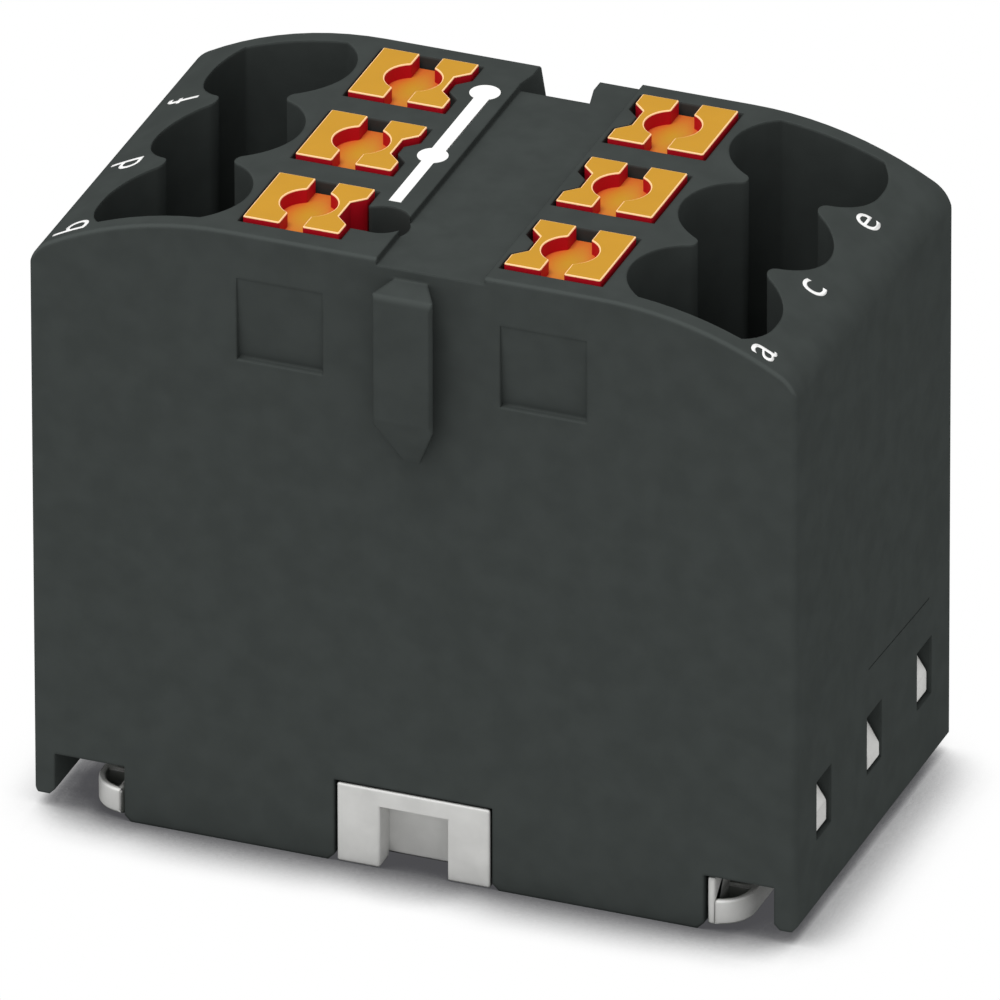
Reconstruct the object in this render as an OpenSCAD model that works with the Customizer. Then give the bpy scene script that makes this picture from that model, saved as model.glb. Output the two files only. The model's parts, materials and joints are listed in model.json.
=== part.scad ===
// Six-way push-in power distribution block.
// Six conductors enter from above, three down each side, and every one is clamped on the same
// busbar by its own leaf spring. A push-button beside each entry bends the spring away.
// Frame: X along the block, Y from front to rear, Z up, origin at the middle of the
// footprint (coupling rib included), standing on the skirts of the housing. Millimetres.

/* [Housing] */
// Overall length of the housing
housing_l = 29.9; // [29:0.1:32]
// Height of the flat top above the skirt
housing_h = 25.3; // [25:0.1:28]
// Distance between neighbouring conductor entries
pitch = 5.2; // [5:0.1:6]
// What the housing adds outside the last entry, at the front and at the rear
end_margin = 0.25; // [0.1:0.05:0.5]
// Half length of the flat part of the top
flat_half = 7.2; // [7.1:0.05:7.4]
// Radius of the arch that falls away on both sides
arch_r = 14.4; // [14:0.1:16]
// Radius of the shoulder between arch and end wall
shoulder_r = 1.4; // [0.8:0.1:2]
// Radius of the upright edges
corner_r = 0.25; // [0.1:0.05:0.5]
// Bevel along the top edges
top_bevel = 0.1; // [0.05:0.05:0.3]
// Thickness of the end walls beside the snap hooks
side_wall = 0.85; // [0.7:0.05:1.1]
// Thickness of the front and rear skirts
skirt_wall = 0.95; // [0.8:0.05:1.1]
// How far the end walls stop above the skirts
side_lift = 0.55; // [0.3:0.05:0.8]

/* [Conductor entries] */
// Distance of the entry axes from the middle of the block
entry_x = 10.3; // [10.2:0.05:10.5]
// Length of one scalloped entry, across the block
entry_l = 5.7; // [5.6:0.05:5.8]
// Half width of the neck between two inner scallops, from the entry axis
neck_in = 1.3; // [1.1:0.05:1.5]
// Half width of the neck between two outer scallops, from the entry axis
neck_out = 1.45; // [1.2:0.05:1.6]
// How much further the outer arcs of the end entries reach, to the front and to the rear
end_reach = 0.4; // [0.1:0.05:0.5]
// Wall between the entries and the front or rear face
entry_wall = 0.75; // [0.65:0.05:0.9]
// Height of the entry floor
entry_floor_z = 16.2; // [15.8:0.1:16.8]
// Radius of the round hole that guides the conductor
guide_r = 1.8; // [1.5:0.05:1.9]
// Depth of the funnel above that hole
funnel_h = 0.8; // [0.4:0.1:1]

/* [Push-buttons] */
// Distance of the button centres from the middle of the block
button_x = 5.08; // [5.04:0.01:5.1]
// Width of a button across the block
button_w = 3.74; // [3.6:0.02:3.8]
// Depth of a button, front to rear
button_d = 3.65; // [3.4:0.05:3.8]
// How far a button stands above the top at rest
button_proud = 0.16; // [0.05:0.01:0.3]
// Gap between a button and its well
button_gap = 0.15; // [0.08:0.01:0.16]
// Travel of a button
button_travel = 1.3; // [1:0.1:1.5]
// Height of the full-size head of a button
head_h = 3.9; // [3.5:0.1:4.5]
// Width of the screwdriver slot
slot_w = 0.9; // [0.7:0.02:1]
// Depth of the screwdriver slot
slot_depth = 0.58; // [0.4:0.02:0.9]
// Radius of the round recess in the middle of the slot
recess_r = 1.06; // [0.9:0.02:1.2]
// Depth of the keying notch in the inner side
notch_depth = 0.48; // [0.3:0.02:0.55]
// Half width of the keying notch at its mouth
notch_mouth = 1.06; // [0.9:0.02:1.2]
// Half width of the key of the housing that stands in the notch
key_root = 0.78; // [0.7:0.02:0.86]

/* [Marker groove and test socket] */
// Left edge of the marker groove
groove_x0 = -1.35; // [-1.5:0.05:-1.2]
// Right edge of the marker groove
groove_x1 = 2.85; // [2.6:0.05:2.9]
// Depth of the marker groove
groove_depth = 0.27; // [0.15:0.02:0.4]
// Radius of the test socket
test_r = 1.05; // [1:0.01:1.1]
// Depth of the wide mouth through which it opens into the notch of the button beside it
test_mouth_h = 4.2; // [3:0.1:5]
// Distance of the test socket from the middle of the block
test_x = 2.25; // [2.2:0.01:2.3]

/* [Couplings] */
// Half width of the front rib where it meets the housing
rib_root = 0.64; // [0.5:0.02:0.8]
// Half width of the front rib at its outer face
rib_outer = 1.28; // [1.1:0.02:1.3]
// How far the front rib stands out
rib_out = 1.03; // [0.8:0.01:1.2]
// Top of the front rib, below the top of the housing
rib_drop = 0.69; // [0.4:0.05:1]
// Straight height of the front rib
rib_h = 5.35; // [4:0.05:6]
// Height of the tapered tail below it
rib_tail = 2.1; // [1:0.1:3]
// Bevel along its upright edges
rib_edge = 0.2; // [0.1:0.05:0.3]
// Gap on each side of a rib in the rear groove of the next block
rib_gap = 0.1; // [0.05:0.01:0.2]
// Depth of the rear groove
dovetail_depth = 1.69; // [1.4:0.05:1.8]
// Width and height of the square recesses in the front
panel_size = 3.35; // [2.5:0.05:3.5]
// Distance of their centres from the middle of the block
panel_x = 5.13; // [5:0.01:5.3]
// Height of their lower edge
panel_z = 20.1; // [19:0.1:20.5]
// Depth of these recesses at their lower edge; they run out towards the top
panel_depth = 0.27; // [0.1:0.01:0.3]

/* [Base] */
// Length of the base
base_l = 25.7; // [25:0.1:25.9]
// Height of the underside above the skirts
base_lift = 0.2; // [0.1:0.05:0.4]
// Thickness of the floor
base_floor = 1; // [0.8:0.1:1.3]
// Top of the ribs that carry the busbar
base_top = 4.9; // [4.7:0.1:5.1]
// Thickness of the frame and its ribs
base_rib = 1; // [0.8:0.1:1.2]
// Radius of the corner feet
foot_r = 1.35; // [1:0.05:1.4]
// Thickness of the rim around a corner foot
foot_rim = 0.28; // [0.24:0.02:0.5]
// Thickness of the floor of the pocket behind that rim
foot_floor = 0.4; // [0.3:0.05:0.6]
// Width of the dock
dock_w = 6; // [5.6:0.1:6.2]
// Height of the dock
dock_h = 3.28; // [3:0.02:3.4]
// Width of the opening in the dock
dock_slot_w = 2.66; // [2.4:0.02:3]
// Height of the opening in the dock
dock_slot_h = 2.53; // [2.3:0.01:2.6]
// Depth of the opening in the dock
dock_slot_d = 1; // [0.8:0.05:1.2]
// Width of the windows for the snap hooks
window_w = 1.5; // [1.4:0.05:1.8]
// Height of the lower edge of these windows
window_z = 3.35; // [3.2:0.05:3.5]
// Height of these windows
window_h = 2.4; // [2.3:0.05:2.45]
// Thickness of a hook arm
arm_t = 0.7; // [0.5:0.05:0.8]
// Height of the underside of the hook arms
arm_low = 1.7; // [1.5:0.1:2]
// Height of the bridge between an arm and the base
arm_foot_h = 0.8; // [0.6:0.1:1.2]

/* [Contacts] */
// Thickness of the busbar
bar_t = 0.8; // [0.6:0.05:0.9]
// Height of the clamping tabs above the busbar floor
tab_h = 7.1; // [6:0.1:7.3]
// Height of the inner tabs, which back the upright legs of the springs
back_tab_h = 4; // [3:0.1:4.5]
// Thickness of these inner tabs
back_tab_t = 0.6; // [0.5:0.05:0.7]
// Distance of the clamping face from the middle of the block
clamp_x = 11.8; // [11.6:0.05:12]
// Thickness of the leaf springs
spring_t = 0.3; // [0.2:0.02:0.36]
// Width of the leaf springs
spring_w = 3.2; // [2.8:0.1:3.3]
// Distance of the upright legs of the springs from the middle of the block
leg_face = 4; // [3.9:0.05:4.2]
// Height of the spring bend above the busbar floor
bend_h = 4.9; // [4.5:0.1:5.2]
// Radius of the spring bend, at the middle of its thickness
bend_r = 1.15; // [1:0.05:1.3]
// Slope of the clamping leg
leg_slope = 35; // [30:1:40]

/* [Hidden] */
$fn = 64;

rows = [-1, 0, 1];              // the three rows, front to rear, in pitches
housing_w = 3 * pitch + 2 * end_margin;
half_l = housing_l / 2;
half_w = housing_w / 2;
arch_z = housing_h - arch_r;    // height of the axis of the arch
gap = 0.1;                      // clearance between two fixed pieces
cut = 1;                        // how far a cutter runs past the face that it opens

// Places where the contact chambers start and stop
chamber_x0 = 3.2;               // inner wall, outside the dovetail and the marker groove
chamber_x1 = clamp_x + bar_t + 0.3;
chamber_w = spring_w + 0.7;
bar_z = base_top;               // underside of the busbar, which lies on the base ribs
bar_top = bar_z + bar_t;
base_cavity_z = bar_top + gap;
guide_h = 2;                    // length of the round conductor guide
chamber_z = entry_floor_z - funnel_h - guide_h;

// Heights in a button, from its top at rest
button_top = housing_h + button_proud;
head_z = button_top - head_h;
head_stop_z = head_z - button_travel - 0.2;   // shelf on which a pressed button stops
stem_w = 3;
stem_x = button_x + 0.15;       // the stem stands clear of the test socket
stem_d = 2.6;
stem_gap = 0.15;
barb = 0.3;                     // how far the snap barbs of a button stand out
barb_h = 0.5;
foot_w = 1.2;

// Leaf spring: upright leg, bend, and clamping leg that ends at the clamping face
bend_z = bar_top + bend_h;
leg_x = leg_face + spring_t / 2;
bend_x = leg_x + bend_r;
bend_steps = 16;
spring_tip_gap = 0.1;
spring_top_z = bend_z + bend_r + spring_t / 2;
press_z = spring_top_z + 0.2;   // underside of the foot of a button at rest

// Parts of the base and its seats in the housing
skirt_in = half_w - skirt_wall; // inner face of the skirts
base_in = skirt_in - gap;       // the base between the skirts
foot_out = half_w - gap;        // front of the corner feet
body_out = base_l / 2 - 1.1;    // outer face of the raised frame
foot_inner = body_out - 0.29;   // where a corner foot starts
notch_x0 = foot_inner - gap;
notch_x1 = half_l - side_wall;  // the corner legs are as thick as the end walls
notch_h = 2.26;
arm_out = half_l - side_wall - 0.05;
hook_w = window_w - 0.2;
hook_z = window_z + gap;
hook_top = window_z + window_h - 0.2;
hook_face = [0.12, 0.02, 0.12]; // how deep each hook sits below the end wall
hook_flat = [0.85, 0.55, 0.85]; // upright part of each hook, above its catch

// ---------------------------------------------------------------- shared shapes

// Both sides of the block
module mirrored_x() {
    children();
    mirror([1, 0, 0]) children();
}

module mirrored_y() {
    children();
    mirror([0, 1, 0]) children();
}

// A block given by its lowest and highest corners
module block(low, high) {
    translate(low) cube(high - low);
}

// A section drawn in X and Z, extruded along Y from y0 to y1
module slab_xz(y0, y1) {
    translate([0, y1, 0]) rotate([90, 0, 0]) linear_extrude(y1 - y0) children();
}

// A drum along Y whose two ends are bevelled
module bevelled_drum(r, w, bevel) {
    rotate([90, 0, 0]) {
        translate([0, 0, -w / 2 + bevel]) cylinder(r = r, h = w - 2 * bevel, $fn = 128);
        translate([0, 0, w / 2 - bevel]) cylinder(r1 = r, r2 = r - bevel, h = bevel, $fn = 128);
        translate([0, 0, -w / 2]) cylinder(r1 = r - bevel, r2 = r, h = bevel, $fn = 128);
    }
}

// Rectangle with round corners
module round_rect(l, w, r) {
    square([l - 2 * r, w], center = true);
    square([l, w - 2 * r], center = true);
    for (x = [-1, 1], y = [-1, 1])
        translate([x * (l / 2 - r), y * (w / 2 - r)]) circle(r);
}

// ---------------------------------------------------------------- housing

// The arched outside: flat top, an arch each side and a round shoulder above each end wall
module arched_body() {
    blend = arch_r - shoulder_r;
    shoulder_x = half_l - shoulder_r;
    shoulder_z = arch_z + sqrt(blend * blend - pow(shoulder_x - flat_half, 2));
    meet_x = flat_half + (shoulder_x - flat_half) * arch_r / blend;
    b = top_bevel;
    intersection() {
        union() {
            rotate([90, 0, 90]) translate([0, 0, -flat_half]) linear_extrude(2 * flat_half)
                polygon([[-half_w, 0], [half_w, 0], [half_w, housing_h - b], [half_w - b, housing_h],
                         [b - half_w, housing_h], [-half_w, housing_h - b]]);
            mirrored_x() {
                intersection() {
                    translate([flat_half, 0, arch_z]) bevelled_drum(arch_r, housing_w, b);
                    block([flat_half, -half_w, 0], [meet_x, half_w, housing_h]);
                }
                intersection() {
                    translate([shoulder_x, 0, shoulder_z]) bevelled_drum(shoulder_r, housing_w, b);
                    block([meet_x, -half_w, shoulder_z], [half_l, half_w, housing_h]);
                }
                block([meet_x, -half_w, 0], [half_l, half_w, shoulder_z]);
            }
        }
        linear_extrude(housing_h + cut) round_rect(housing_l, housing_w, corner_r);
    }
}

// Plan of one row of three entries: overlapping round-ended slots with rounded cusps between
module entry_plan() {
    r = pitch / 2;
    x_in = entry_x - entry_l / 2 + r;
    x_out = entry_x + entry_l / 2 - r;
    overlap = 0.003;
    // a cusp is a small circle that touches two neighbouring scallops and reaches the neck
    reach_in = x_in - entry_x + neck_in;
    reach_out = entry_x + neck_out - x_out;
    off_in = reach_in * (2 * r - reach_in) / (2 * (r - reach_in));
    off_out = reach_out * (2 * r - reach_out) / (2 * (r - reach_out));
    cusp_in = off_in - reach_in;
    cusp_out = off_out - reach_out;
    intersection() {
        union() {
            for (i = rows) translate([0, i * pitch]) {
                translate([x_in, 0]) circle(r, $fn = 128);
                translate([x_out, 0]) circle(r, $fn = 128);
                translate([x_in, -r]) square([x_out - x_in, 2 * r]);
            }
            mirrored_y() translate([x_out, pitch]) {
                translate([0, end_reach]) circle(r, $fn = 128);
                translate([-r, 0]) square([2 * r, end_reach]);
            }
            for (j = [-0.5, 0.5]) translate([0, j * pitch]) difference() {
                x0 = x_in - off_in * r / (r + cusp_in);
                x1 = x_out + off_out * r / (r + cusp_out);
                y = r - r * r / (r + max(cusp_in, cusp_out));
                translate([x0, -y]) square([x1 - x0, 2 * y]);
                translate([x_in - off_in, 0]) circle(cusp_in + overlap);
                translate([x_out + off_out, 0]) circle(cusp_out + overlap);
            }
        }
        translate([entry_x, 0]) square([entry_l + cut, housing_w - 2 * entry_wall], center = true);
    }
}

// Everything that a conductor passes through on its way down
module entry_cut() {
    translate([0, 0, entry_floor_z]) linear_extrude(housing_h) entry_plan();
    for (i = rows) translate([entry_x, i * pitch, chamber_z]) {
        translate([0, 0, -cut]) cylinder(r = guide_r, h = guide_h + funnel_h + 2 * cut);
        translate([0, 0, guide_h]) cylinder(r1 = guide_r, r2 = guide_r + funnel_h / 2, h = funnel_h);
    }
}

// Outline of a button, grown by g all round, on the side of the block where X is positive.
// The notch in its inner side is two times root wide at the mouth.
function button_outline(g, root) =
    let (x0 = button_x - button_w / 2 - g, x1 = button_x + button_w / 2 + g, y = button_d / 2 + g,
         tip = root - notch_depth)
    [[x0, -y], [x1, -y], [x1, y], [x0, y], [x0, root], [x0 + notch_depth, tip],
     [x0 + notch_depth, -tip], [x0, -root]];

module button_well() {
    translate([0, 0, head_stop_z]) linear_extrude(housing_h)
        polygon(button_outline(button_gap, key_root));
    block([stem_x - stem_w / 2 - stem_gap, -stem_d / 2 - stem_gap, chamber_z - cut],
          [stem_x + stem_w / 2 + stem_gap, stem_d / 2 + stem_gap, head_stop_z + cut]);
}

// The test socket: a round bore, and a mouth that takes the key of the front left button away
module test_socket() {
    mouth_z = housing_h - test_mouth_h;
    key_tip = button_x - button_w / 2 - button_gap + notch_depth;
    translate([-test_x, -pitch, 0]) {
        translate([0, 0, base_cavity_z - cut]) cylinder(r = test_r, h = housing_h);
        block([test_x - key_tip - 0.01, -test_r + 0.02, mouth_z], [0, key_root, housing_h + cut]);
    }
}

module contact_chamber() {
    block([chamber_x0, -chamber_w / 2, base_cavity_z - cut], [chamber_x1, chamber_w / 2, chamber_z]);
}

// The dovetail rib that locks into the rear groove of the next block. It leans back at the top
// and tapers to a point at the bottom.
module coupling_rib() {
    top = housing_h - rib_drop;
    low = top - rib_h;
    lip = 0.6;                  // height of the sloping top of the rib
    back = 0.02;                // how far the rib reaches into the wall
    side = 1 - rib_edge / norm([rib_outer - rib_root, rib_out]);
    side_x = rib_root + (rib_outer - rib_root) * side;
    intersection() {
        translate([0, -half_w, low - rib_tail]) linear_extrude(rib_h + rib_tail)
            polygon([[-rib_root, back], [rib_root, back], [rib_root, 0],
                     [side_x, -rib_out * side], [rib_outer - rib_edge, -rib_out],
                     [rib_edge - rib_outer, -rib_out], [-side_x, -rib_out * side], [-rib_root, 0]]);
        rotate([90, 0, 90]) translate([0, 0, -rib_outer]) linear_extrude(2 * rib_outer)
            translate([-half_w, 0])
            polygon([[back, low - rib_tail], [back, top], [0, top], [0.15 - rib_out, top - 0.29],
                     [-rib_out, top - lip], [-rib_out, low], [-0.02, low - rib_tail]]);
        slab_xz(-housing_w, 0)
            polygon([[-rib_outer, low], [-rib_outer, top], [rib_outer, top], [rib_outer, low],
                     [0.3, low - rib_tail], [-0.3, low - rib_tail]]);
    }
}

// Rear groove, open at the top, in which the rib of the next block slides down
module dovetail_groove() {
    mouth = rib_root + rib_gap + 0.24;
    inner = rib_outer + rib_gap;
    low = housing_h - rib_drop - rib_h - rib_tail - 0.4;
    lead = 0.2;                 // how much wider the mouth is at the top
    lead_h = 1.24;
    translate([0, half_w, low]) linear_extrude(housing_h)
        polygon([[-mouth, cut], [mouth, cut], [mouth, 0], [inner, -dovetail_depth],
                 [-inner, -dovetail_depth], [-mouth, 0]]);
    slab_xz(half_w - dovetail_depth, half_w + cut)
        polygon([[-mouth, housing_h - lead_h], [mouth, housing_h - lead_h], [mouth + lead, housing_h],
                 [mouth + lead, housing_h + cut], [-mouth - lead, housing_h + cut],
                 [-mouth - lead, housing_h]]);
}

// Marker groove along the top; on the left it ends at the dovetail
module marker_groove() {
    floor_z = housing_h - groove_depth;
    block([groove_x0, -half_w - cut, floor_z], [groove_x1, half_w - dovetail_depth, housing_h + cut]);
    block([0, -half_w, floor_z], [groove_x1, half_w + cut, housing_h + cut]);
}

// Square recess in the front, on the side where X is positive
module front_panel() {
    run_out = 0.03;             // its depth at the upper edge
    translate([panel_x - panel_size / 2, -half_w, panel_z]) rotate([90, 0, 90])
        linear_extrude(panel_size)
        polygon([[-cut, 0], [panel_depth, 0], [run_out, panel_size], [-cut, panel_size]]);
}

// Fine parting line across the rear half of an end wall
module parting_line() {
    translate([half_l, 2.53, 7.57]) rotate([-2.4, 0, 0]) cube([0.04, 6.3, 0.07], center = true);
}

// What is taken away below an end wall and its corner legs, whose lower edges are bevelled
module end_wall_cut() {
    inner = 0.22;
    outer = 0.17;
    slab_xz(-half_w - cut, half_w + cut)
        polygon([[notch_x1 - gap, -cut], [notch_x1 - gap, side_lift + inner],
                 [notch_x1, side_lift + inner], [notch_x1 + inner, side_lift],
                 [half_l - outer, side_lift], [half_l + cut, side_lift + outer + cut],
                 [half_l + cut, -cut]]);
}

// Notches in one skirt: the dock in the middle and a foot at each corner
module skirt_cut() {
    mouth = dock_w / 2 + gap;
    slope = 0.25;
    slab_xz(-half_w - cut, -skirt_in + cut)
        polygon([[-mouth - slope, -cut], [-mouth - slope, 0], [-mouth, slope], [-mouth, dock_h + gap],
                 [mouth, dock_h + gap], [mouth, slope], [mouth + slope, 0], [mouth + slope, -cut]]);
    mirrored_x() slab_xz(-half_w - cut, -skirt_in + cut)
        polygon([[notch_x0 - slope, -cut], [notch_x0 - slope, 0], [notch_x0, slope],
                 [notch_x0, notch_h], [notch_x1, notch_h], [notch_x1, -cut]]);
}

module housing() {
    color([0.22, 0.24, 0.235]) difference() {
        union() {
            arched_body();
            coupling_rib();
        }
        mirrored_x() entry_cut();
        for (i = rows) translate([0, i * pitch, 0]) mirrored_x() {
            button_well();
            contact_chamber();
            block([half_l - side_wall - cut, -window_w / 2, window_z],
                  [half_l + cut, window_w / 2, window_z + window_h]);
        }
        // the base and its hooks sit in one wide cavity
        block([side_wall - half_l, -skirt_in, -cut], [half_l - side_wall, skirt_in, base_cavity_z]);
        mirrored_x() end_wall_cut();
        mirrored_y() skirt_cut();
        marker_groove();
        dovetail_groove();
        test_socket();
        mirrored_x() front_panel();
        mirrored_x() parting_line();
    }
}

// ---------------------------------------------------------------- base

// One snap hook with its arm, on the side where X is positive
module snap_hook(face, flat) {
    x = half_l - face;
    slab_xz(-hook_w / 2, hook_w / 2)
        polygon([[arm_out - arm_t / 2, hook_z], [x, hook_z], [x, hook_z + flat],
                 [arm_out, hook_top], [arm_out - arm_t / 2, hook_top]]);
    half_arm = hook_w / 2 + 0.4;
    block([arm_out - arm_t, -half_arm, arm_low], [arm_out, half_arm, hook_top]);
    block([body_out - gap, -half_arm, arm_low], [arm_out, half_arm, arm_low + arm_foot_h]);
}

// The dock: a plate with a notch that a mounting foot or a screwdriver reaches into
module dock() {
    depth = 2.2;
    difference() {
        block([-dock_w / 2, -half_w, 0], [dock_w / 2, depth - half_w, dock_h]);
        block([-dock_slot_w / 2, -half_w - cut, -cut],
              [dock_slot_w / 2, dock_slot_d - half_w, dock_slot_h]);
        block([-dock_w, dock_slot_d - half_w, -cut], [dock_w, depth - half_w + cut, base_lift]);
    }
}

// Plan of the base: between the skirts, with rounded corner feet that reach out to the faces
module base_plan() {
    intersection() {
        round_rect(base_l, 2 * foot_out, foot_r);
        union() {
            square([base_l, 2 * base_in], center = true);
            mirrored_x() translate([foot_inner, -foot_out]) square([base_l, 2 * foot_out]);
        }
    }
}

module base_plate() {
    color([0.73, 0.73, 0.72]) {
        difference() {
            translate([0, 0, base_lift]) linear_extrude(base_floor) base_plan();
            // pockets behind the rims of the feet
            mirrored_x() mirrored_y() translate([body_out, pitch + hook_w, base_lift + foot_floor])
                linear_extrude(base_floor) intersection() {
                    square([base_l, foot_out - pitch - hook_w - foot_rim]);
                    translate([-body_out, -pitch - hook_w])
                        round_rect(base_l - 2 * foot_rim, 2 * (foot_out - foot_rim), foot_r - foot_rim);
                }
            mirrored_y() translate([0, -half_w, 0])
                block([-dock_slot_w / 2, -cut, 0], [dock_slot_w / 2, dock_slot_d, cut + base_floor]);
        }
        // raised frame with cross ribs that carry the busbar
        difference() {
            block([-body_out, -base_in, base_lift], [body_out, base_in, base_top]);
            for (i = rows) mirrored_x()
                block([base_rib / 2, (i - 0.5) * pitch + (i < 0 ? base_rib : base_rib / 2), base_lift + base_floor],
                      [body_out - base_rib, (i + 0.5) * pitch - (i > 0 ? base_rib : base_rib / 2), base_top + cut]);
            mirrored_y() block([-dock_slot_w / 2, -base_in - cut, -cut],
                               [dock_slot_w / 2, dock_slot_d - half_w, dock_slot_h]);
        }
        // a ridge beside the foot at the front right, and at the rear left
        for (turn = [0, 180]) rotate(turn)
            block([foot_inner, -foot_out, base_lift], [body_out, -base_in + gap, notch_h - gap]);
        mirrored_y() dock();
        for (i = [0:2]) translate([0, rows[i] * pitch, 0])
            mirrored_x() snap_hook(hook_face[i], hook_flat[i]);
    }
}

// ---------------------------------------------------------------- contacts

// One stamped bar: a floor on the base ribs, and two bent-up tabs at every entry
module busbar() {
    color([0.80, 0.79, 0.76]) {
        bar_y = base_in - 3 * gap;
        tab_y = chamber_w / 2 - 2 * gap;
        block([-clamp_x - bar_t, -bar_y, bar_z], [clamp_x + bar_t, bar_y, bar_top]);
        for (i = rows) translate([0, i * pitch, 0]) mirrored_x() {
            block([clamp_x, -tab_y, bar_z], [clamp_x + bar_t, tab_y, bar_top + tab_h]);
            block([leg_face - back_tab_t, -spring_w / 2, bar_z],
                  [leg_face, spring_w / 2, bar_top + back_tab_h]);
        }
    }
}

// Middle line of a leaf spring, from its foot to its tip
function spring_line() =
    let (end_a = 90 - leg_slope,
         end = [bend_x + bend_r * cos(end_a), bend_z + bend_r * sin(end_a)],
         tip_x = clamp_x - spring_tip_gap - spring_t * sin(leg_slope) / 2,
         run = tip_x - end[0])
    concat([[leg_x, bar_top]],
           [for (k = [0:bend_steps]) let (a = 180 + k * (end_a - 180) / bend_steps)
               [bend_x + bend_r * cos(a), bend_z + bend_r * sin(a)]],
           [[tip_x, end[1] - run * tan(leg_slope)]]);

// Direction across the line at its point k
function across(line, k) =
    let (a = line[max(k - 1, 0)], b = line[min(k + 1, len(line) - 1)], d = b - a)
    [-d[1], d[0]] / norm(d);

function ribbon(line, t) =
    concat([for (k = [0:len(line) - 1]) line[k] + across(line, k) * t / 2],
           [for (k = [len(line) - 1:-1:0]) line[k] - across(line, k) * t / 2]);

module leaf_spring(row, side) {
    color([0.78, 0.79, 0.80]) translate([0, row * pitch, 0]) mirror([side < 0 ? 1 : 0, 0, 0])
        slab_xz(-spring_w / 2, spring_w / 2) polygon(ribbon(spring_line(), spring_t));
}

// ---------------------------------------------------------------- push-buttons

module push_button(row, side) {
    x1 = stem_x + stem_w / 2;
    color([0.87, 0.62, 0.16]) translate([0, row * pitch, 0]) mirror([side < 0 ? 1 : 0, 0, 0]) {
        difference() {
            translate([0, 0, head_z]) linear_extrude(head_h)
                polygon(button_outline(0, notch_mouth));
            block([button_x - slot_w / 2, -button_d, button_top - slot_depth],
                  [button_x + slot_w / 2, button_d, button_top + cut]);
            translate([button_x, 0, button_top - slot_depth]) cylinder(r = recess_r, h = slot_depth + cut);
        }
        block([stem_x - stem_w / 2, -stem_d / 2, chamber_z + 0.4], [x1, stem_d / 2, head_z]);
        // foot that presses the spring, with snap barbs under the chamber roof
        block([x1 - foot_w, -stem_d / 2, press_z], [x1, stem_d / 2, chamber_z + 0.4]);
        block([x1 - foot_w, -stem_d / 2 - barb, press_z + 0.2],
              [x1, stem_d / 2 + barb, press_z + 0.2 + barb_h]);
    }
}

// ---------------------------------------------------------------- placing

// The rib makes the footprint deeper at the front, so the block moves back by half of it
module placed() {
    translate([0, rib_out / 2, 0]) children();
}

placed() housing();
placed() base_plate();
placed() busbar();
placed() leaf_spring(-1, 1);  // spring_a
placed() leaf_spring(-1, -1);  // spring_b
placed() leaf_spring(0, 1);  // spring_c
placed() leaf_spring(0, -1);  // spring_d
placed() leaf_spring(1, 1);  // spring_e
placed() leaf_spring(1, -1);  // spring_f
placed() push_button(-1, 1);  // button_a
placed() push_button(-1, -1);  // button_b
placed() push_button(0, 1);  // button_c
placed() push_button(0, -1);  // button_d
placed() push_button(1, 1);  // button_e
placed() push_button(1, -1);  // button_f
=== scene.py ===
"""Looks of the six-way push-in power distribution block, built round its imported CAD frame.

The CAD nodes keep their shapes. This script rounds their edges, gives every node a procedural
material, adds the printed marks on the top, and sets the studio and the camera.
"""

import json
import math

import bmesh
import bpy
from mathutils import Matrix, Vector


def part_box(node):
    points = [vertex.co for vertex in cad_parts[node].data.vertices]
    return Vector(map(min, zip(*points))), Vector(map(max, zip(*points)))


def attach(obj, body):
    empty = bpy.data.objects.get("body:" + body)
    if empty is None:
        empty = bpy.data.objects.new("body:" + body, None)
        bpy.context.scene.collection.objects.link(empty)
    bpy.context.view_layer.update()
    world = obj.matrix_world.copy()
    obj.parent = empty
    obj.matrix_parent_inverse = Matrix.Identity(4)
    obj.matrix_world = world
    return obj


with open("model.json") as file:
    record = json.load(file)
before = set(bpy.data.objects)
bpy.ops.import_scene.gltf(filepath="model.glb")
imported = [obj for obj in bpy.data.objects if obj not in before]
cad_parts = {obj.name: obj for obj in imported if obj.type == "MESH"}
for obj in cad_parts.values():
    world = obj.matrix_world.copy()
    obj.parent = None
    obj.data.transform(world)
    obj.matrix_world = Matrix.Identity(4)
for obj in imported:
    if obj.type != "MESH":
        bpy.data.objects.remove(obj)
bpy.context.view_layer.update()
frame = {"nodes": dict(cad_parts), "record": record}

MM = 0.001

# Sizes of the block that the marks and the camera need, in metres
LOW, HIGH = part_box("housing")
HOUSING_W = 16.1 * MM
RIB_OUT = (HIGH[1] - LOW[1]) - HOUSING_W
BACK = RIB_OUT / 2                   # the housing sits this far behind the middle of the footprint
TOP = HIGH[2]
FLAT_HALF = 7.2 * MM                 # half length of the flat top
ARCH_R = 14.4 * MM                   # radius of the arch beside it
PRINT_H = 0.015 * MM                 # thickness of the printed marks


# ---------------------------------------------------------------- materials

HOUSING_GREY = (0.0455, 0.0517, 0.0495)
BASE_GREY = (0.565, 0.565, 0.55)
# painted highlight of the light grey plastic where it faces up
PAINTED_TOP_HIGHLIGHT = (0.86, 0.86, 0.84)
# painted shade of the light grey plastic in narrow gaps and corners
PAINTED_GAP_SHADE = (0.02, 0.02, 0.018)
# painted shade of the light grey plastic inside the hollows of the feet
PAINTED_HOLLOW_SHADE = (0.17, 0.18, 0.165)
HOUSING_ROUND = 0.16 * MM            # radius by which the edges look rounded
BASE_ROUND = 0.12 * MM
# the painted shade inside the feet fades in between these two distances from the middle
DOCK_END = 4 * MM                    # the docks end before this distance from the middle
FOOT_START = 6 * MM                  # the feet start after this one
SHADE_REACH = 4 * MM                 # how far round the block its shade on the table spreads
SHADE_LEAN = (-0.2, 0.35, 0.91)      # the shade is deeper in front of the block and at its right
SHADE_GREY = (0.07, 0.07, 0.075)


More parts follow.
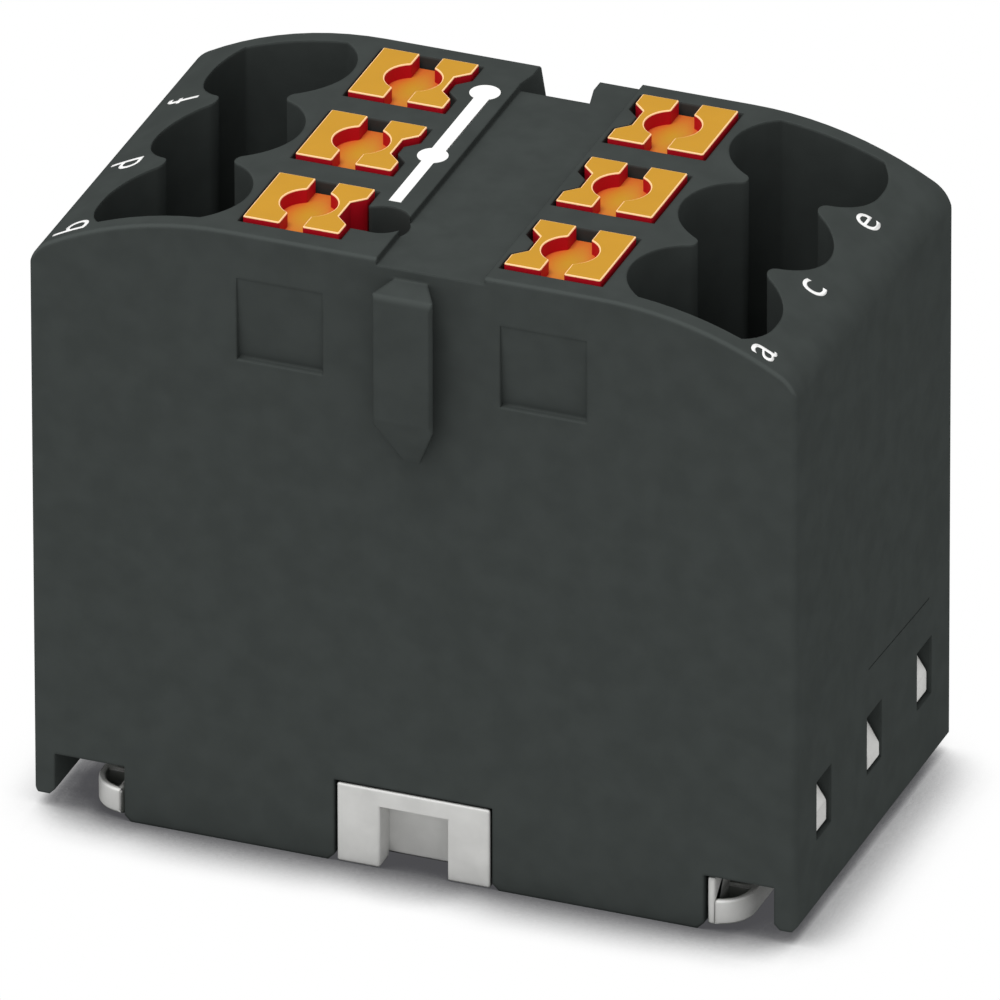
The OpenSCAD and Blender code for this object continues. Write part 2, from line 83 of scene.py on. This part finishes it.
class Nodes:
    """A material's node tree, with short ways to add and join nodes."""

    def __init__(self, name):
        self.material = bpy.data.materials.new(name)
        self.material.use_nodes = True
        self.tree = self.material.node_tree
        self.shader = self.tree.nodes["Principled BSDF"]
        self.roundings = {}              # one rounding node for each radius

    def add(self, kind, **settings):
        node = self.tree.nodes.new(kind)
        for key, value in settings.items():
            setattr(node, key, value)
        return node

    def link(self, source, target):
        self.tree.links.new(source, target)

    def set(self, node, **values):
        for key, value in values.items():
            node.inputs[key.replace("_", " ")].default_value = value

    def mix(self, factor, low, high):
        """Colour between low and high; each is a colour or a socket."""
        node = self.add("ShaderNodeMix", data_type="RGBA")
        self.link(factor, node.inputs["Factor"])
        for socket, value in ((node.inputs[6], low), (node.inputs[7], high)):
            if isinstance(value, bpy.types.NodeSocket):
                self.link(value, socket)
            else:
                socket.default_value = (*value, 1)
        return node.outputs[2]

    def ramp(self, source, low, high, kind="LINEAR"):
        """0 where source is at low, 1 where it is at high."""
        node = self.add("ShaderNodeMapRange", clamp=True, interpolation_type=kind)
        self.set(node, From_Min=low, From_Max=high)
        self.link(source, node.inputs["Value"])
        return node.outputs["Result"]

    def product(self, first, *others):
        """All the given sockets multiplied together."""
        for factor in others:
            node = self.add("ShaderNodeMath", operation="MULTIPLY")
            self.link(first, node.inputs[0])
            self.link(factor, node.inputs[1])
            first = node.outputs[0]
        return first

    def size_of(self, source):
        """The source without its sign."""
        node = self.add("ShaderNodeMath", operation="ABSOLUTE")
        self.link(source, node.inputs[0])
        return node.outputs[0]

    def noise(self, scale, detail=3):
        """Soft random spots; a larger scale makes them finer."""
        place = self.add("ShaderNodeTexCoord")
        node = self.add("ShaderNodeTexNoise")
        self.set(node, Scale=scale, Detail=detail)
        self.link(place.outputs["Object"], node.inputs["Vector"])
        return node.outputs["Fac"]

    def bump(self, height, strength, distance, rounding=0):
        """Fine relief on the surface, whose edges look rounded by the given radius."""
        node = self.add("ShaderNodeBump")
        self.set(node, Strength=strength, Distance=distance)
        self.link(height, node.inputs["Height"])
        if rounding:
            self.link(self.rounded(rounding), node.inputs["Normal"])
        self.link(node.outputs["Normal"], self.shader.inputs["Normal"])

    def rounded(self, radius):
        """The direction in which the surface points, turning softly over its edges."""
        if radius not in self.roundings:
            self.roundings[radius] = self.add("ShaderNodeBevel", samples=6)
            self.set(self.roundings[radius], Radius=radius)
        return self.roundings[radius].outputs["Normal"]

    def facing(self, axis, rounding=0):
        """The part along an axis of the direction in which the surface points."""
        parts = self.add("ShaderNodeSeparateXYZ")
        if rounding:
            way = self.rounded(rounding)
        else:
            way = self.add("ShaderNodeNewGeometry").outputs["True Normal"]
        self.link(way, parts.inputs["Vector"])
        return parts.outputs[axis]

    def openness(self, distance, lean=None, samples=8):
        """1 on open surface, less in corners and hollows.

        Only what lies within the distance counts, and lean turns the direction that is looked in.
        """
        node = self.add("ShaderNodeAmbientOcclusion", samples=samples, only_local=False)
        self.set(node, Distance=distance)
        if lean:
            way = self.add("ShaderNodeVectorMath", operation="NORMALIZE")
            way.inputs[0].default_value = lean
            self.link(way.outputs[0], node.inputs["Normal"])
        return node.outputs["AO"]


def moulded_plastic(name, colour, roughness, grain=0.06, specular=0.35, rounding=0):
    """Matte moulded plastic: faint mottling, a fine eroded grain and softly rounded edges."""
    n = Nodes(name)
    mottle = n.ramp(n.noise(900), 0.35, 0.65)
    lighter = [min(c * 1.06, 1) for c in colour]
    darker = [c * 0.95 for c in colour]
    n.link(n.mix(mottle, darker, lighter), n.shader.inputs["Base Color"])
    rough = n.add("ShaderNodeMapRange", clamp=True)
    n.set(rough, To_Min=roughness - 0.05, To_Max=roughness + 0.05)
    n.link(n.noise(2500), rough.inputs["Value"])
    n.link(rough.outputs["Result"], n.shader.inputs["Roughness"])
    n.bump(n.noise(9000, detail=2), grain, 0.02 * MM, rounding)
    n.set(n.shader, Specular_IOR_Level=specular)
    return n


def button_plastic():
    """Orange plastic, with painted light: a painted highlight along its bevels, a painted dark crimson
    shade down its walls and a painted darker, redder shade where it lies deep.
    """
    orange = (0.52, 0.262, 0.019)
    painted_crimson = (0.50, 0.006, 0.015)
    painted_deep_shade = (0.64, 0.10, 0.025)
    painted_bevel_highlight = (1.0, 0.62, 0.33)
    n = moulded_plastic("button_plastic", orange, 0.5, grain=0.03, specular=0.1)
    flat = n.mix(n.ramp(n.noise(700), 0.3, 0.7), [c * 0.96 for c in orange], orange)
    # painted shade: where the surface lies deep in a recess, the orange is painted darker and redder
    level = n.mix(n.ramp(n.openness(0.9 * MM), 0.95, 0.45), flat, painted_deep_shade)
    # painted highlight: the bevels, which face partly up, are painted a light peach
    edge = n.mix(n.ramp(n.facing("Z"), 0.985, 0.96), level, painted_bevel_highlight)
    # painted shade: the walls that face sideways are painted a dark crimson, though the plastic is
    # orange all through
    sideways_shade = n.ramp(n.facing("Z"), 0.35, 0.25)
    n.link(n.mix(sideways_shade, edge, painted_crimson), n.shader.inputs["Base Color"])
    return n


def print_ink():
    """White ink, very slightly uneven."""
    n = Nodes("print_ink")
    white = n.mix(n.noise(1500), (0.84, 0.84, 0.83), (0.90, 0.90, 0.89))
    n.link(white, n.shader.inputs["Base Color"])
    n.set(n.shader, Roughness=0.5)
    return n


def sheet_metal(name, colour, roughness):
    """Rolled or tinned sheet metal, with faint rolling lines along X."""
    n = Nodes(name)
    place = n.add("ShaderNodeTexCoord")
    stretch = n.add("ShaderNodeMapping")
    stretch.inputs["Scale"].default_value = (300, 9000, 9000)
    lines = n.add("ShaderNodeTexNoise")
    n.set(lines, Scale=1, Detail=2)
    n.link(place.outputs["Object"], stretch.inputs["Vector"])
    n.link(stretch.outputs["Vector"], lines.inputs["Vector"])
    darker = [c * 0.85 for c in colour]
    n.link(n.mix(lines.outputs["Fac"], darker, colour), n.shader.inputs["Base Color"])
    n.bump(lines.outputs["Fac"], 0.05, 0.01 * MM)
    n.set(n.shader, Metallic=1.0, Roughness=roughness)
    return n


def studio_floor():
    """A lit white table: plain white, with a soft shade where the block stands close."""
    n = Nodes("studio_floor")
    n.set(n.shader, Base_Color=(0, 0, 0, 1), Roughness=1.0, Specular_IOR_Level=0.0)
    near = n.ramp(n.openness(SHADE_REACH, SHADE_LEAN, samples=16), 0.29, 0.88, "SMOOTHSTEP")
    n.link(n.mix(near, SHADE_GREY, (1, 1, 1)), n.shader.inputs["Emission Color"])
    n.set(n.shader, Emission_Strength=1.0)
    return n


def housing_plastic():
    """Dark grey plastic, with a painted highlight that makes it a little lighter along its rounded
    upper front and rear edges.
    """
    n = moulded_plastic("housing_plastic", HOUSING_GREY, 0.6, specular=0.0, rounding=HOUSING_ROUND)
    body = n.shader.inputs["Base Color"].links[0].from_socket
    up = n.facing("Z", HOUSING_ROUND)
    across = n.size_of(n.facing("Y", HOUSING_ROUND))
    # painted highlight: the rounded edges that face partly up and partly to the front or rear are
    # painted a third lighter
    edge = n.product(n.ramp(up, 0.97, 0.86), n.ramp(up, 0.15, 0.35), n.ramp(across, 0.1, 0.3))
    lighter = [c * 1.35 for c in HOUSING_GREY]
    n.link(n.mix(edge, body, lighter), n.shader.inputs["Base Color"])
    return n


def base_plastic():
    """Light grey plastic, with a painted highlight where it faces up, a painted shade in narrow gaps
    and a painted shade inside the feet.
    """
    n = moulded_plastic("base_plastic", BASE_GREY, 0.5, specular=0.2, rounding=BASE_ROUND)
    body = n.shader.inputs["Base Color"].links[0].from_socket
    # painted highlight: the faces and rounded edges that point up are painted paler
    body = n.mix(n.ramp(n.facing("Z", BASE_ROUND), 0.2, 0.6), body, PAINTED_TOP_HIGHLIGHT)
    # painted shade: narrow gaps and corners, where little light comes in, are painted nearly black
    body = n.mix(n.ramp(n.openness(0.8 * MM), 0.45, 0.12), body, PAINTED_GAP_SHADE)
    place = n.add("ShaderNodeSeparateXYZ")
    n.link(n.add("ShaderNodeTexCoord").outputs["Object"], place.inputs["Vector"])
    aside = n.size_of(place.outputs["X"])
    # painted shade: out beside the docks, the hollows of the feet are painted a dark grey
    painted_feet_shade = n.product(n.ramp(aside, DOCK_END, FOOT_START), n.ramp(n.openness(1.5 * MM), 0.55, 0.35))
    n.link(n.mix(painted_feet_shade, body, PAINTED_HOLLOW_SHADE), n.shader.inputs["Base Color"])
    return n


MATERIALS = {
    "housing_plastic": housing_plastic(),
    "base_plastic": base_plastic(),
    "button_plastic": button_plastic(),
    "bar_metal": sheet_metal("bar_metal", (0.70, 0.68, 0.63), 0.35),
    "spring_steel": sheet_metal("spring_steel", (0.66, 0.67, 0.68), 0.25),
}


def paint(obj, material):
    obj.data.materials.clear()
    obj.data.materials.append(material)


# ---------------------------------------------------------------- CAD nodes


def smoothing():
    """Modifier group that shades curved walls smooth, creases sharp edges and marks them for the bevel.

    Hollow corners are creased, but the bevel leaves them as they are.
    """
    tree = bpy.data.node_groups.new("smoothing", "GeometryNodeTree")
    for way in ("INPUT", "OUTPUT"):
        tree.interface.new_socket("Geometry", in_out=way, socket_type="NodeSocketGeometry")

    def above(angle):
        node = tree.nodes.new("ShaderNodeMath")
        node.operation = "GREATER_THAN"
        node.inputs[1].default_value = SHARP
        tree.links.new(angle, node.inputs[0])
        return node.outputs[0]

    angle = tree.nodes.new("GeometryNodeInputMeshEdgeAngle")
    smooth = tree.nodes.new("GeometryNodeSetShadeSmooth")
    crease = tree.nodes.new("GeometryNodeSetShadeSmooth")
    crease.domain = "EDGE"
    crease.inputs["Shade Smooth"].default_value = False
    tree.links.new(above(angle.outputs["Unsigned Angle"]), crease.inputs["Selection"])
    mark = tree.nodes.new("GeometryNodeStoreNamedAttribute")
    mark.data_type = "FLOAT"
    mark.domain = "EDGE"
    mark.inputs["Name"].default_value = "bevel_weight_edge"
    tree.links.new(above(angle.outputs["Signed Angle"]), mark.inputs["Value"])
    chain = [tree.nodes.new("NodeGroupInput"), smooth, crease, mark, tree.nodes.new("NodeGroupOutput")]
    for first, second in zip(chain, chain[1:]):
        tree.links.new(first.outputs[0], second.inputs[0])
    return tree


def soften(obj, width):
    """Joins the node's split corners and smooths its curved walls; a width cuts its edges round."""
    weld = obj.modifiers.new("weld", "WELD")
    weld.merge_threshold = 0.0005 * MM
    flat = obj.modifiers.new("flat", "DECIMATE")
    flat.decimate_type = "DISSOLVE"
    flat.angle_limit = math.radians(0.5)
    smooth = obj.modifiers.new("smooth", "NODES")
    smooth.node_group = SMOOTHING
    if width:
        bevel = obj.modifiers.new("round", "BEVEL")
        bevel.width = width
        bevel.segments = 2
        bevel.limit_method = "WEIGHT"
        bevel.use_clamp_overlap = False
        bevel.harden_normals = True
    else:
        even = obj.modifiers.new("even", "WEIGHTED_NORMAL")
        even.keep_sharp = True


SHARP = math.radians(30)             # edges sharper than this are creased and rounded
SMOOTHING = smoothing()

# How far edges are cut round. The housing's look round by its material instead, because cuts
# would tear at the cusps of its entries.
EDGE = {"housing": 0, "base_plate": 0.10 * MM, "button": 0.05 * MM, "busbar": 0.05 * MM,
        "spring": 0.03 * MM}

for entry in frame["record"]["subparts"]:
    name = entry["node"]
    kind = name if name in EDGE else name.split("_")[0]
    paint(frame["nodes"][name], MATERIALS[entry["material_slot"]].material)
    soften(frame["nodes"][name], EDGE[kind])


# ---------------------------------------------------------------- printed marks


def top_height(x):
    """Height of the housing's top at x: flat in the middle, then the arch."""
    fall = max(abs(x) - FLAT_HALF, 0)
    return TOP - ARCH_R + math.sqrt(ARCH_R**2 - fall**2)


def lay_on_top(bm):
    """Lays a flat mesh just above the top, cut into strips that follow the arch."""
    low = min(vert.co.x for vert in bm.verts)
    high = max(vert.co.x for vert in bm.verts)
    for k in range(1, math.ceil((high - low) / STRIP)):
        everything = bm.verts[:] + bm.edges[:] + bm.faces[:]
        at = (low + k * STRIP, 0, 0)
        bmesh.ops.bisect_plane(bm, geom=everything, plane_co=at, plane_no=(1, 0, 0))
    for vert in bm.verts:
        vert.co.z = top_height(vert.co.x) + PRINT_H


def mark_object(bm, name):
    """A printed mark that rides on the housing, as thick as the ink."""
    mesh = bpy.data.meshes.new(name)
    bm.to_mesh(mesh)
    bm.free()
    obj = bpy.data.objects.new(name, mesh)
    bpy.context.collection.objects.link(obj)
    solid = obj.modifiers.new("thickness", "SOLIDIFY")
    solid.thickness = PRINT_H * 0.9
    solid.offset = -1
    paint(obj, INK)
    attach(obj, "body")


INK = print_ink().material

STRIP = 0.2 * MM                     # width of the strips
LINE_X = -2.31 * MM
LINE_W = 0.47 * MM
LINE_END = -3.75 * MM                # front end of the line, beside the test socket
DOT_R = 0.575 * MM
DOT_YS = (5.3 * MM, 0.05 * MM)
DOT_STEPS = 20
LETTER_SIZE = 1.86 * MM
LETTER_THIN = 0.002                  # how much thinner the strokes are drawn, per letter size


def terminal_symbol():
    """The printed line with two dots that leads to the test socket, as one outline."""
    reach = math.asin(LINE_W / 2 / DOT_R)          # half angle at which the line leaves a dot
    half = math.pi / 2

    def arc(y, start, end):
        turns = [start + (end - start) * k / DOT_STEPS for k in range(DOT_STEPS + 1)]
        return [(DOT_R * math.cos(turn), y + DOT_R * math.sin(turn)) for turn in turns]

    far, near = DOT_YS
    outline = [(LINE_W / 2, LINE_END)]
    outline += arc(near, reach - half, half - reach) + arc(far, reach - half, half)
    outline += [(-x, y) for x, y in reversed(outline) if x > 0]
    bm = bmesh.new()
    face = bm.faces.new([bm.verts.new((LINE_X + x, y + BACK, 0)) for x, y in outline])
    bmesh.ops.triangulate(bm, faces=[face])
    lay_on_top(bm)
    mark_object(bm, "terminal_symbol")


def letter(text, x, y):
    """A position letter on the arch, its top towards -X."""
    curve = bpy.data.curves.new("letter_" + text, "FONT")
    curve.body = text
    curve.size = LETTER_SIZE
    curve.align_x = "CENTER"
    curve.align_y = "CENTER"
    curve.offset = -LETTER_THIN * LETTER_SIZE
    flat = bpy.data.objects.new("letter_draft_" + text, curve)
    bpy.context.collection.objects.link(flat)
    bpy.context.view_layer.update()
    drawn = flat.evaluated_get(bpy.context.evaluated_depsgraph_get())
    mesh = bpy.data.meshes.new_from_object(drawn)
    bpy.data.objects.remove(flat)
    bm = bmesh.new()
    bm.from_mesh(mesh)
    place = Matrix.Translation((x, y + BACK, 0)) @ Matrix.Rotation(math.pi / 2, 4, "Z")
    bmesh.ops.transform(bm, matrix=place, verts=bm.verts)
    lay_on_top(bm)
    mark_object(bm, "position_" + text)


# Where the middle of each letter lies, in millimetres
LETTERS = {"a": (13.23, -7.29), "c": (13.21, -2.13), "e": (13.24, 3.35),
           "b": (-13.49, -7.22), "d": (-13.50, -2.03), "f": (-13.33, 3.27)}

terminal_symbol()
for text, (x, y) in LETTERS.items():
    letter(text, x * MM, y * MM)


# ---------------------------------------------------------------- studio and camera

FLOOR_HALF = 3.0
AMBIENT = 0.65                       # strength of the light from all sides

AZIMUTH = math.radians(21.265)
ELEVATION = math.radians(28.586)
ROLL = math.radians(-0.137)
DISTANCE = 1.2139
LENS = 1194.9
AIM_HEIGHT = 12 * MM
AIM_SHIFT = (0.283 * MM, -0.436 * MM)  # the aim lies this far right and up from the middle


def studio():
    """The table and a white surrounding that gives soft light from all sides."""
    bm = bmesh.new()
    bmesh.ops.create_grid(bm, x_segments=1, y_segments=1, size=FLOOR_HALF)
    # off centre, so that the seam between the two triangles of the table lies far from the block
    bmesh.ops.translate(bm, vec=(FLOOR_HALF / 2, 0, 0), verts=bm.verts)
    mesh = bpy.data.meshes.new("floor")
    bm.to_mesh(mesh)
    bm.free()
    floor = bpy.data.objects.new("floor", mesh)
    bpy.context.collection.objects.link(floor)
    paint(floor, studio_floor().material)

    world = bpy.data.worlds.new("studio")
    bpy.context.scene.world = world
    world.use_nodes = True
    tree = world.node_tree
    back = tree.nodes["Background"]
    back.inputs["Color"].default_value = (1, 1, 1, 1)
    back.inputs["Strength"].default_value = AMBIENT
    seen = tree.nodes.new("ShaderNodeBackground")
    seen.inputs["Color"].default_value = (1, 1, 1, 1)
    path = tree.nodes.new("ShaderNodeLightPath")
    mix = tree.nodes.new("ShaderNodeMixShader")
    tree.links.new(path.outputs["Is Camera Ray"], mix.inputs[0])
    tree.links.new(back.outputs[0], mix.inputs[1])
    tree.links.new(seen.outputs[0], mix.inputs[2])
    tree.links.new(mix.outputs[0], tree.nodes["World Output"].inputs[0])


def softbox(name, place, aim, size, power):
    """A round lamp at a place, turned to its aim."""
    light = bpy.data.lights.new(name, "AREA")
    light.shape = "DISK"
    light.size = size
    light.energy = power
    obj = bpy.data.objects.new(name, light)
    bpy.context.collection.objects.link(obj)
    obj.location = place
    obj.rotation_euler = (Vector(aim) - Vector(place)).to_track_quat("-Z", "Y").to_euler()


def camera():
    """A long lens, so that the block is drawn almost without perspective."""
    level = math.cos(ELEVATION)
    toward = Vector((math.sin(AZIMUTH) * level, -math.cos(AZIMUTH) * level, math.sin(ELEVATION)))
    right = Vector((math.cos(AZIMUTH), math.sin(AZIMUTH), 0))
    up = toward.cross(right)
    turn_r = right * math.cos(ROLL) + up * math.sin(ROLL)
    turn_u = up * math.cos(ROLL) - right * math.sin(ROLL)
    aim = Vector((0, BACK, AIM_HEIGHT)) + turn_r * AIM_SHIFT[0] + turn_u * AIM_SHIFT[1]
    place = aim + toward * DISTANCE
    data = bpy.data.cameras.new("camera")
    data.sensor_width = 36
    data.lens = LENS
    data.clip_start = 0.1
    data.clip_end = 20
    obj = bpy.data.objects.new("camera", data)
    bpy.context.collection.objects.link(obj)
    obj.matrix_world = Matrix((
        (turn_r.x, turn_u.x, toward.x, place.x),
        (turn_r.y, turn_u.y, toward.y, place.y),
        (turn_r.z, turn_u.z, toward.z, place.z),
        (0, 0, 0, 1)))
    bpy.context.scene.camera = obj


studio()
softbox("key", place=(-0.04, -0.11, 0.40), aim=(0, 0, AIM_HEIGHT), size=0.20, power=1.05)
camera()
bpy.context.scene.view_settings.view_transform = "Standard"
